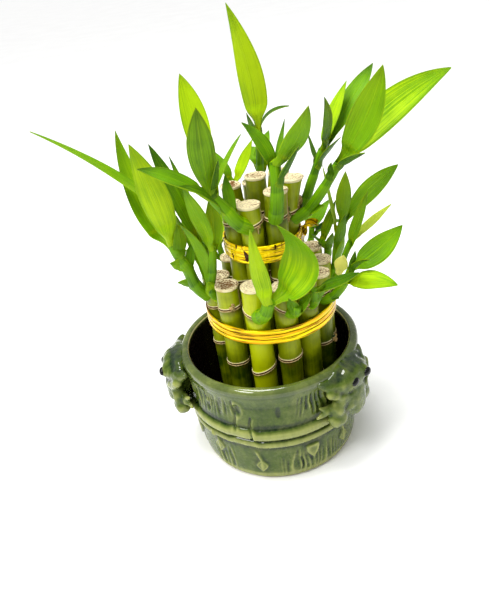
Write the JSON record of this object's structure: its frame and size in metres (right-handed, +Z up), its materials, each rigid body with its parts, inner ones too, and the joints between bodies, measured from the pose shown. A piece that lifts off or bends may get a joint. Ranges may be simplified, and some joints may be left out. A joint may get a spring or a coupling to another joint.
{
  "type": "lucky bamboo in a glazed pot",
  "caption": "Tiered tower of cut bamboo canes held by gold foil ties, with leafy shoots, standing in a round glazed pot with climbing frogs on its rim.",
  "frame": {"origin": "middle of the pot's flat foot, on the surface that it stands on", "axes": "+Z up, front towards -Y, +X to the viewer's right"},
  "size_m": [0.197, 0.114, 0.233],
  "materials": {
    "glaze": "glossy green glaze, darker in the recesses",
    "cane": "smooth waxy yellow-green skin",
    "leaf": "satin leaf with fine lengthwise veins",
    "foil": "metallised gold film, crinkled"
  },
  "bodies": {
    "root": {"pot": "glaze", "cane_low_01": "cane", "cane_low_02": "cane", "cane_low_03": "cane", "cane_low_04": "cane", "cane_low_05": "cane", "cane_low_06": "cane", "cane_low_07": "cane", "cane_low_08": "cane", "cane_low_09": "cane", "cane_low_10": "cane", "cane_low_11": "cane", "cane_low_12": "cane", "cane_low_13": "cane", "cane_top_01": "cane", "cane_top_02": "cane", "cane_top_03": "cane", "cane_top_04": "cane", "cane_top_05": "cane", "cane_top_06": "cane", "cane_top_07": "cane", "cane_top_08": "cane", "tie_lower": "foil", "tie_upper": "foil", "shoot_left_outer": "leaf", "shoot_left_inner": "leaf", "shoot_left_back": "leaf", "shoot_upper_left": "leaf", "shoot_crown": "leaf", "shoot_upper_front": "leaf", "shoot_upper_right": "leaf", "shoot_far_right": "leaf", "shoot_right_top": "leaf", "shoot_right_upright": "leaf", "shoot_right_slim": "leaf", "shoot_right_low": "leaf", "shoot_front_right": "leaf", "shoot_front_bud": "leaf", "shoot_front": "leaf", "shoot_upper_back_left": "leaf", "shoot_back_right": "leaf", "shoot_back": "leaf", "shoot_back_left": "leaf"}
  },
  "joints": []
}
